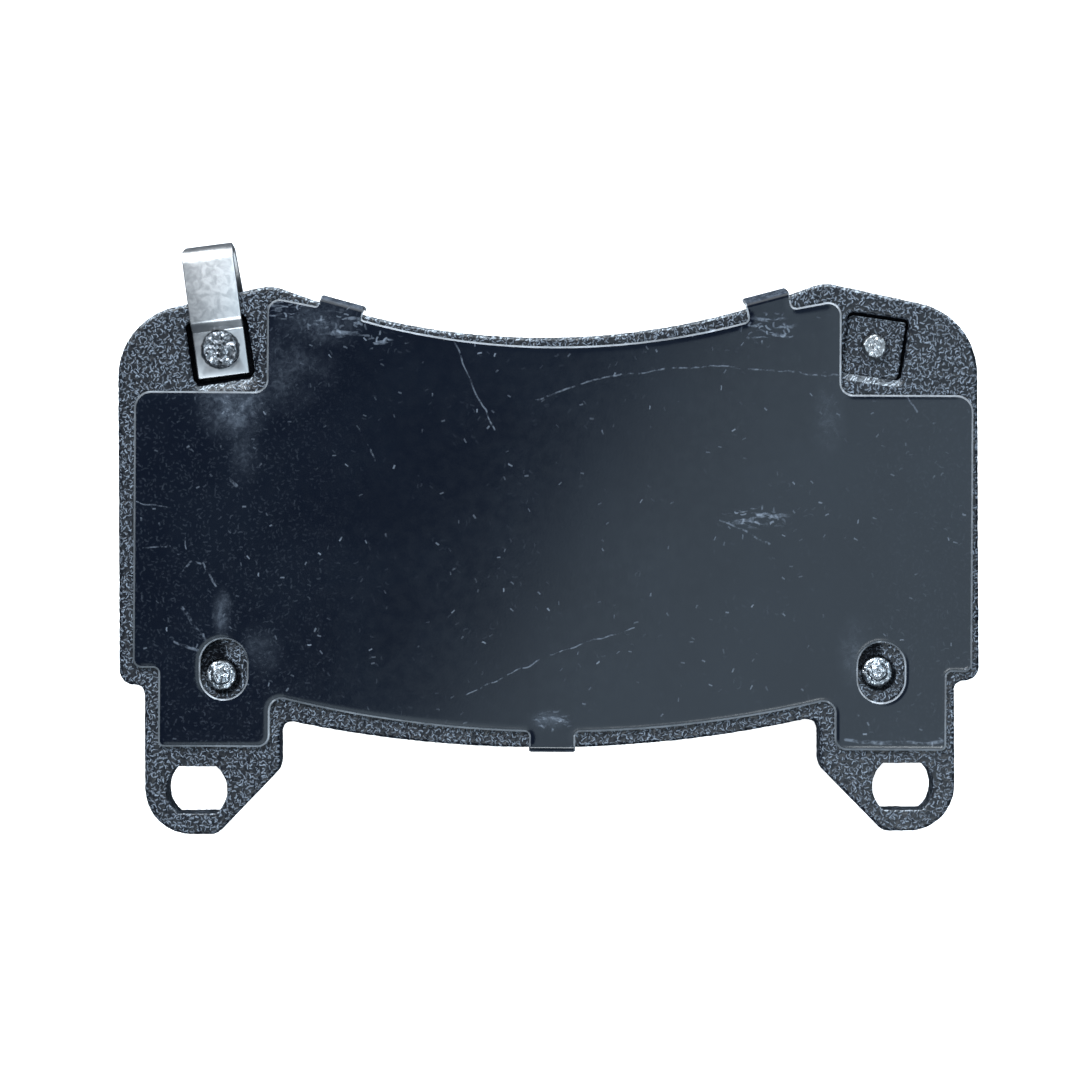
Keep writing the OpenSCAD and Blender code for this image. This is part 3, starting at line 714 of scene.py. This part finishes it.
def make_plate():
    bm = bmesh.new()
    tops = [evened(l, FINE) for l in loops_at("backing_plate", PLATE_TOP)]
    shim = shrunk(loops_at("shim_core", SHIM_TOP), COVERED)
    pad = shrunk(loops_at("underlayer", PLATE_LOW), COVERED)
    floors = loops_at("backing_plate", RECESS_FLOOR)
    grow = reach_at("spare_stud", PLATE_LOW) - reach_at("spare_stud", RECESS_FLOOR)
    foot_top = PLATE_LOW + FOOT_T
    foot_rows = [(0, foot_top), (grow, foot_top), (grow, PLATE_LOW)]
    top_rings, low_rings = [], []
    for loop in tops:
        wide = np.ptp(loop[:, 0])
        if loop is tops[0]:
            rows = lip(ROLL_OVER, PLATE_TOP, 6)
            rows += [(0, z) for z in depths(rows[-1][1], PLATE_LOW + 0.15 * MM, 0.6 * MM)[1:]]
            rows += [(0.15 * MM, PLATE_LOW)]
        elif abs(loop[:, 1].mean() - middle("spare_stud").y) < MM:
            # a recess: its outer wall slopes, and a groove runs along the foot of the other walls
            into = inward(loop)
            slope = 0.2 * MM + 0.95 * MM * np.clip(-into[:, 1], 0, 1) ** 3
            outer = math.copysign(1, loop[:, 0].mean())
            cut = np.clip(np.maximum(into[:, 1], outer * into[:, 0]) * 1.6, 0.15, 1)
            deep = PLATE_TOP - RECESS_FLOOR
            sunk = RECESS_FLOOR - GROOVE * cut
            rows = [(slope * (1 - t), PLATE_TOP - np.minimum(slope, 0.8 * deep) * t)
                    for t in np.linspace(0, 1, 6)]
            rows += [(-0.02 * MM, RECESS_FLOOR + 0.2 * MM), (-0.04 * MM, sunk), (-0.36 * MM * cut, sunk),
                     (-GROOVE * cut, RECESS_FLOOR)]
        elif wide < PIN_HOLES:
            rows = lip(0.3 * MM, PLATE_TOP, 4) + foot_rows
        else:
            rows = lip(0.35 * MM, PLATE_TOP, 4)
            rows += [(0, z) for z in depths(rows[-1][1], PLATE_LOW + 0.1 * MM, 0.5 * MM)[1:]]
            rows += [(0.1 * MM, PLATE_LOW)]
        first, last = wall(bm, loop, rows)
        top_rings.append(first)
        if last[0].co.z < PLATE_LOW + 0.01 * MM:
            low_rings.append(last)
        else:
            hole = next(evened(l, FINE) for l in floors
                        if np.ptp(l[:, 0]) < PIN_HOLES and abs(l[:, 0].mean() - loop[:, 0].mean()) < MM)
            rim, foot = wall(bm, hole, [(0, RECESS_FLOOR), *foot_rows])
            low_rings.append(foot)
            outline = np.array([v.co.xy for v in last])
            fill(bm, [last, rim], staggered([outline], FINE), RECESS_FLOOR)
    fine = staggered(tops[:1], FINE)
    fine = fine[inside(fine, tops) & ~inside(fine, shim)]
    coarse = staggered(tops[:1], COARSE)
    coarse = coarse[inside(coarse, tops) & inside(coarse, shim)]
    fill(bm, top_rings, np.vstack([fine, coarse]), PLATE_TOP)
    below = staggered(tops[:1], 2 * FINE)
    below = below[~inside(below, pad)]
    hidden = staggered(pad, COARSE)
    fill(bm, low_rings, np.vstack([below, hidden]), PLATE_LOW)
    mesh = finish_mesh("backing_plate_coated", bm)
    relief(mesh, coat_relief)
    return mesh


def merged(node):
    """A copy of a CAD node with its flat faces merged."""
    bm = welded(node)
    bmesh.ops.dissolve_limit(bm, angle_limit=math.radians(0.4), verts=bm.verts, edges=bm.edges)
    return finish_mesh(node, bm)


def round_edges(piece, width):
    bevel = piece.modifiers.new("rounded edges", "BEVEL")
    bevel.width = width
    bevel.segments = 3
    bevel.limit_method = "ANGLE"
    bevel.angle_limit = math.radians(35)
    bevel.harden_normals = True


def legs():
    """The shim's bent legs: for each its centre, its directions across and outwards, and its half width."""
    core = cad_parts["shim_core"].data
    low = sorted((v.co for v in core.vertices if v.co.z < PLATE_TOP), key=lambda p: p.x)
    groups = [[low[0]]]
    for a, b in zip(low, low[1:]):
        if b.x - a.x > LEGS_APART:
            groups.append([])
        groups[-1].append(b)
    found = []
    for group in groups:
        flat = np.array([p.xy for p in group])
        centre = (flat.min(0) + flat.max(0)) / 2
        across = np.linalg.eigh(np.cov((flat - centre).T))[1][:, 1]
        out = np.array([-across[1], across[0]])
        out *= math.copysign(1, out[1] * centre[1])
        found.append((centre, across, out, np.ptp(flat @ across) / 2))
    return found


def leg_skins(bm):
    """The rubber on the outside of the shim's bent legs. Returns the legs' bend lines as (centre, across,
    out, half width, place of the line along out)."""
    lines = []
    for centre, across, out, half in legs():
        core = welded("shim_core")
        core.normal_update()
        skin = []
        for face in core.faces:
            off = np.array(face.calc_center_median().xy) - centre
            normal = np.array(face.normal.xy)
            on_leg = abs(off @ across) < half + 0.01 * MM and off @ out > -LEG_REACH
            if on_leg and normal @ out > 0.02 and abs(normal @ across) < 0.05:
                skin.append(face)
        copies = {}
        for face in skin:
            for v in face.verts:
                if v not in copies:
                    off = np.array(v.co.xy) - centre
                    place = centre + out * (off @ out) + across * (off @ across) * (1 - RIM / half)
                    tilt = sum((f.normal for f in v.link_faces if f in skin), Vector()).normalized()
                    base = Vector((*place, v.co.z))
                    copies[v] = (bm.verts.new(base), bm.verts.new(base + tilt * COAT_T))
            bm.faces.new([copies[v][0] for v in face.verts])
            bm.faces.new([copies[v][1] for v in face.verts])
        for edge in core.edges:
            if sum(f in skin for f in edge.link_faces) == 1:
                (a, a1), (b, b1) = (copies[v] for v in edge.verts)
                bm.faces.new((a, b, b1, a1))
        lines.append((centre, across, out, half, min((np.array(v.co.xy) - centre) @ out for v in copies)))
        core.free()
    return lines


def make_coat():
    """The rubber face: flat, pressed down where the sheet was cut, and carried over the bent legs."""
    bm = bmesh.new()
    lines = leg_skins(bm)
    loops = [evened(l, 0.35 * MM) for l in loops_at("shim_outer_coat", COAT_TOP)]
    on_line = set()
    for centre, across, out, half, start in lines:
        for i, p in enumerate(loops[0]):
            off = p - centre
            if abs(off @ across) < half and off @ out > start - TAB_GAP:
                loops[0][i] = centre + across * (off @ across) + out * start
                on_line.add(i)
    rings, cut = [], []
    for k, loop in enumerate(loops):
        first, _ = wall(bm, loop, [(0, COAT_TOP), (0, SHIM_TOP)])
        rings.append(first)
        cut += [v.co.copy() for i, v in enumerate(first) if k > 0 or i not in on_line]
    tree = tree_of(cut)
    rows = [p for d in (0.16, 0.34, 0.56, 0.85, 1.25) for loop in loops for p in loop + inward(loop) * d * MM
            if tree.find((*p, COAT_TOP))[2] > 0.93 * d * MM]
    grid = [p for p in staggered(loops[:1], 1.5 * MM) if tree.find((*p, COAT_TOP))[2] > 1.9 * MM]
    made = set(bm.verts)
    fill(bm, rings, np.array(rows + grid), COAT_TOP, clear=0.1 * MM)
    for v in set(bm.verts) - made | {v for ring in rings for v in ring}:
        # the pressed band is wider round the right recess
        away = tree.find(v.co)[2]
        right = min(1.0, max(0.0, (v.co.x - 0.04) / 0.01))
        spread = (0.35 + 0.45 * right * (v.co.y > 0.025)) * MM
        if away < 3 * spread:
            v.co.z -= SINK * math.exp(-(away / spread) ** 2)
    return finish_mesh("shim_rubber_face", bm, crease=40)


def make_strip():
    """The wear indicator, with the corners of its fold cut off: more on its left side."""
    mesh = merged("wear_indicator")
    centre = middle("wear_indicator_rivet").xy
    along = (middle("wear_indicator").xy - centre).normalized()
    across = Vector((along.y, -along.x))
    far = max((v.co.xy - centre) @ along for v in mesh.vertices)
    for v in mesh.vertices:
        off = v.co.xy - centre
        past = (off @ along - far + CORNER) / CORNER
        if past > 0:
            side = off @ across
            shift = across * (-past * CORNER * (0.25 if side > 0 else -0.7))
            v.co.x += shift.x
            v.co.y += shift.y
    return mesh


def turned(name, centre, profile, segments, bumps):
    """A turned piece with its axis upright at centre. The profile is a list of (radius, height) from the
    bottom up, and bumps gives how far a place on it is pushed out of true."""
    bm = bmesh.new()
    turns = [2 * math.pi * k / segments for k in range(segments)]
    rings = []
    for radius, z in profile:
        if radius == 0:
            rings.append([bm.verts.new((centre.x, centre.y, z))])
            continue
        around = [(centre.x + radius * math.cos(a), centre.y + radius * math.sin(a), z) for a in turns]
        rings.append([bm.verts.new(place) for place in around])
    for lower, upper in zip(rings, rings[1:]):
        for i in range(segments):
            places = ((lower, i - 1), (lower, i), (upper, i), (upper, i - 1))
            corners = [ring[k % len(ring)] for ring, k in places]
            bm.faces.new(list(dict.fromkeys(corners)))
    mesh = finish_mesh(name, bm)
    relief(mesh, bumps)
    return mesh


def dense(profile, step):
    """The same profile with more points on its long stretches."""
    out = [profile[0]]
    for (r0, z0), (r1, z1) in zip(profile, profile[1:]):
        n = max(1, round(math.hypot(r1 - r0, z1 - z0) / step))
        out += [(r0 + (r1 - r0) * k / n, z0 + (z1 - z0) * k / n) for k in range(1, n + 1)]
    return out


def foot_profile(node, shank):
    """The sunk foot and the shank of a stud, from its axis outwards and up."""
    foot = reach_at(node, PLATE_LOW)
    low, top = PLATE_LOW + 0.02 * MM, PLATE_LOW + FOOT_T
    return [(0, low), (foot - 0.3 * MM, low), (foot, low + 0.25 * MM), (foot, top), (shank, top)]


def battered(centre, top, size, depth, seed):
    """Dents and lumps of a hammered or sheared end that fade out below it."""
    def push(place):
        p = (place - Vector((*centre, 0))) / MM
        fade = min(1.0, max(0.0, (place.z - top + 1.2 * MM) / MM))
        q = Vector((p.x, p.y, p.z * 0.6 + seed)) / size
        lump = noise.noise(q) + 0.6 * abs(noise.noise(q * 2.3)) - 0.3
        return depth * MM * fade * lump
    return push


def make_pin(node, seed):
    centre, top = middle(node).xy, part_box(node)[1].z
    radius = reach_at(node, PLATE_TOP)
    crown = [(radius, top - 0.75 * MM), (radius - 0.12 * MM, top - 0.5 * MM),
             (radius - 0.55 * MM, top - 0.28 * MM), (radius - 0.75 * MM, top - 0.38 * MM),
             (radius - 0.95 * MM, top - 0.2 * MM), (radius - 1.25 * MM, top - 0.03 * MM),
             (0, top - 0.06 * MM)]
    profile = dense(foot_profile(node, radius) + crown, 0.16 * MM)
    return turned(node, centre, profile, 72, battered(centre, top, 0.75, 0.16, seed))


def make_spare_stud():
    node = "spare_stud"
    centre, top = middle(node).xy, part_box(node)[1].z
    radius = reach_at(node, RECESS_FLOOR)
    crown = [(radius, top - 0.35 * MM), (radius - 0.15 * MM, top - 0.1 * MM), (radius - 0.45 * MM, top),
             (0, top - 0.05 * MM)]
    profile = dense(foot_profile(node, radius) + crown, 0.16 * MM)
    return turned(node, centre, profile, 64, battered(centre, top, 0.7, 0.2, 5.0))


def make_rivet():
    node = "wear_indicator_rivet"
    centre, top = middle(node).xy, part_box(node)[1].z
    seat = top - MASH_T
    head = reach_at(node, seat)
    shank = reach_at("spare_stud", RECESS_FLOOR)
    crown = [(shank, seat), (head - 0.35 * MM, seat), (head, seat + 0.3 * MM),
             (head - 0.05 * MM, seat + 0.6 * MM), (head - 0.35 * MM, top - 0.25 * MM),
             (head - 0.8 * MM, top - 0.2 * MM), (1.5 * MM, top - 0.35 * MM), (0.8 * MM, top - 0.1 * MM),
             (0, top)]
    profile = dense(foot_profile(node, shank) + crown, 0.15 * MM)
    return turned(node, centre, profile, 80, battered(centre, top, 0.8, 0.3, 9.0))


def moulded(node, voxel, height):
    """A voxel skin over a CAD node, with its edges eased and its surface roughened."""
    bm = welded(node)
    source = add(node + "_source", finish_mesh(node + "_source", bm))
    remesh = source.modifiers.new("skin", "REMESH")
    remesh.mode = "VOXEL"
    remesh.voxel_size = voxel
    shell = bpy.data.meshes.new_from_object(source.evaluated_get(bpy.context.evaluated_depsgraph_get()))
    bpy.data.objects.remove(source)
    shell.polygons.foreach_set("use_smooth", [True] * len(shell.polygons))
    relief(shell, height)
    return shell


def crumbs(place):
    p = place / MM
    return -0.02 * MM * abs(noise.noise(p / 0.7)) - 0.05 * MM * max(0.0, noise.noise(p / 2.2) - 0.25)


def make_pieces():
    stud = pressed_steel("stud_steel", (0.4, 0.415, 0.435), 0.36, 0.17, 0.45)
    pin = pressed_steel("pin_steel", (0.42, 0.45, 0.485), 0.32, 0.16, 0.3)
    mashed = pressed_steel("rivet_steel", (0.22, 0.235, 0.258), 0.36, 0.14, 0.3)
    place_piece("plate_with_powder_coat", make_plate(), "backing_plate", powder_coat())
    core = place_piece("shim_steel_sheet", merged("shim_core"), "shim_core",
                       bare_steel("shim_steel", (0.3, 0.32, 0.35), 0.55, 0.3, 0.006))
    round_edges(core, 0.06 * MM)
    place_piece("shim_rubber_face", make_coat(), "shim_outer_coat", rubber())
    strip = place_piece("wear_indicator_strip", make_strip(), "wear_indicator",
                        strip_steel())
    round_edges(strip, 0.2 * MM)
    place_piece("wear_indicator_rivet_head", make_rivet(), "wear_indicator_rivet", mashed)
    place_piece("spare_stud_end", make_spare_stud(), "spare_stud", stud)
    for node, seed in (("locating_pin_left", 2.0), ("locating_pin_right", 7.0)):
        place_piece(node + "_end", make_pin(node, seed), node, pin)
    friction = friction_stuff()
    for side in ("left", "right"):
        node = "friction_block_" + side
        place_piece(node + "_ground", moulded(node, 0.4 * MM, crumbs), node, friction)
    place_piece("underlayer_moulded", moulded("underlayer", 0.45 * MM, crumbs), "underlayer",
                moulded_fibre())
    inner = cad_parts["shim_inner_coat"]
    inner.material_slots[0].material = adhesive()


def make_floor():
    bm = bmesh.new()
    bmesh.ops.create_grid(bm, x_segments=1, y_segments=1, size=30)
    floor = add("floor", finish_mesh("floor", bm, smooth=False))
    look = Look("floor", (0.9, 0.9, 0.9), Roughness=0.9, Emission_Strength=0.9)
    look.shader.inputs["Emission Color"].default_value = (1, 1, 1, 1)
    floor.data.materials.append(look.material)
    floor.visible_diffuse = floor.visible_glossy = False      # it throws no light back on the pad's walls


noise.seed_set(1)              # without a seed, noise_vector is different on each run
make_camera()
light_studio()
make_floor()
make_pieces()
